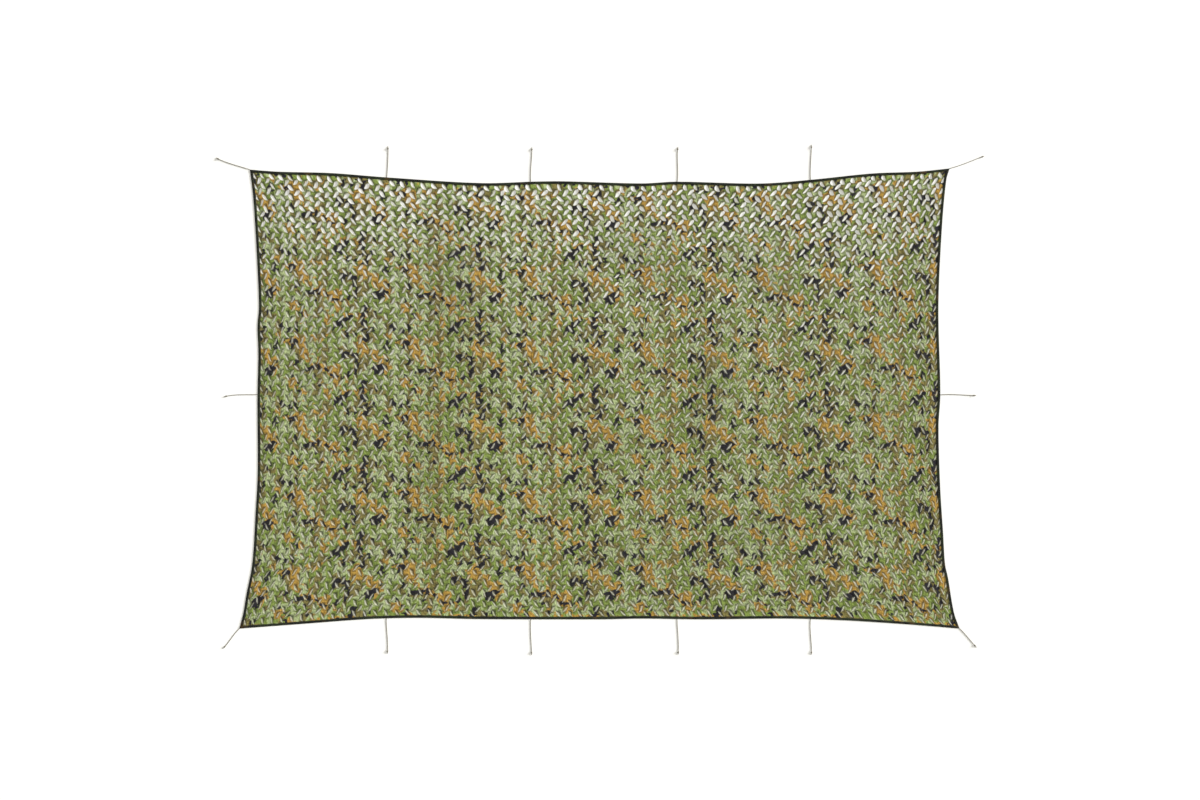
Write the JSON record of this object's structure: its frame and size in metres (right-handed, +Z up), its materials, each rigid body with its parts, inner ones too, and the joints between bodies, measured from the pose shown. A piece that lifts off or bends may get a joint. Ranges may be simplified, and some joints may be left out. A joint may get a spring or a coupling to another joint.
{
  "type": "camouflage net",
  "caption": "Rectangular leaf-cut camouflage net with a bound edge and short knotted tie cords, laid out flat and face up.",
  "frame": {"origin": "centre of the bound net's rectangle, on the surface that it lies on", "axes": "+X along the long side, +Y across it towards the side that is the upper one in the picture, +Z up off the surface, out of the net's face"},
  "size_m": [5.225, 3.4692, 0.0282],
  "materials": {
    "cloth": "printed woodland camouflage, matt coated polyester",
    "binding": "dark woven tape",
    "cord": "braided polyester cord"
  },
  "bodies": {
    "root": {"net_sheet": "cloth", "binding_top": "binding", "binding_bottom": "binding", "binding_left": "binding", "binding_right": "binding", "tie_top_left_corner": "cord", "tie_top_1": "cord", "tie_top_2": "cord", "tie_top_3": "cord", "tie_top_4": "cord", "tie_top_right_corner": "cord", "tie_right": "cord", "tie_bottom_right_corner": "cord", "tie_bottom_4": "cord", "tie_bottom_3": "cord", "tie_bottom_2": "cord", "tie_bottom_1": "cord", "tie_bottom_left_corner": "cord", "tie_left": "cord"}
  },
  "joints": []
}
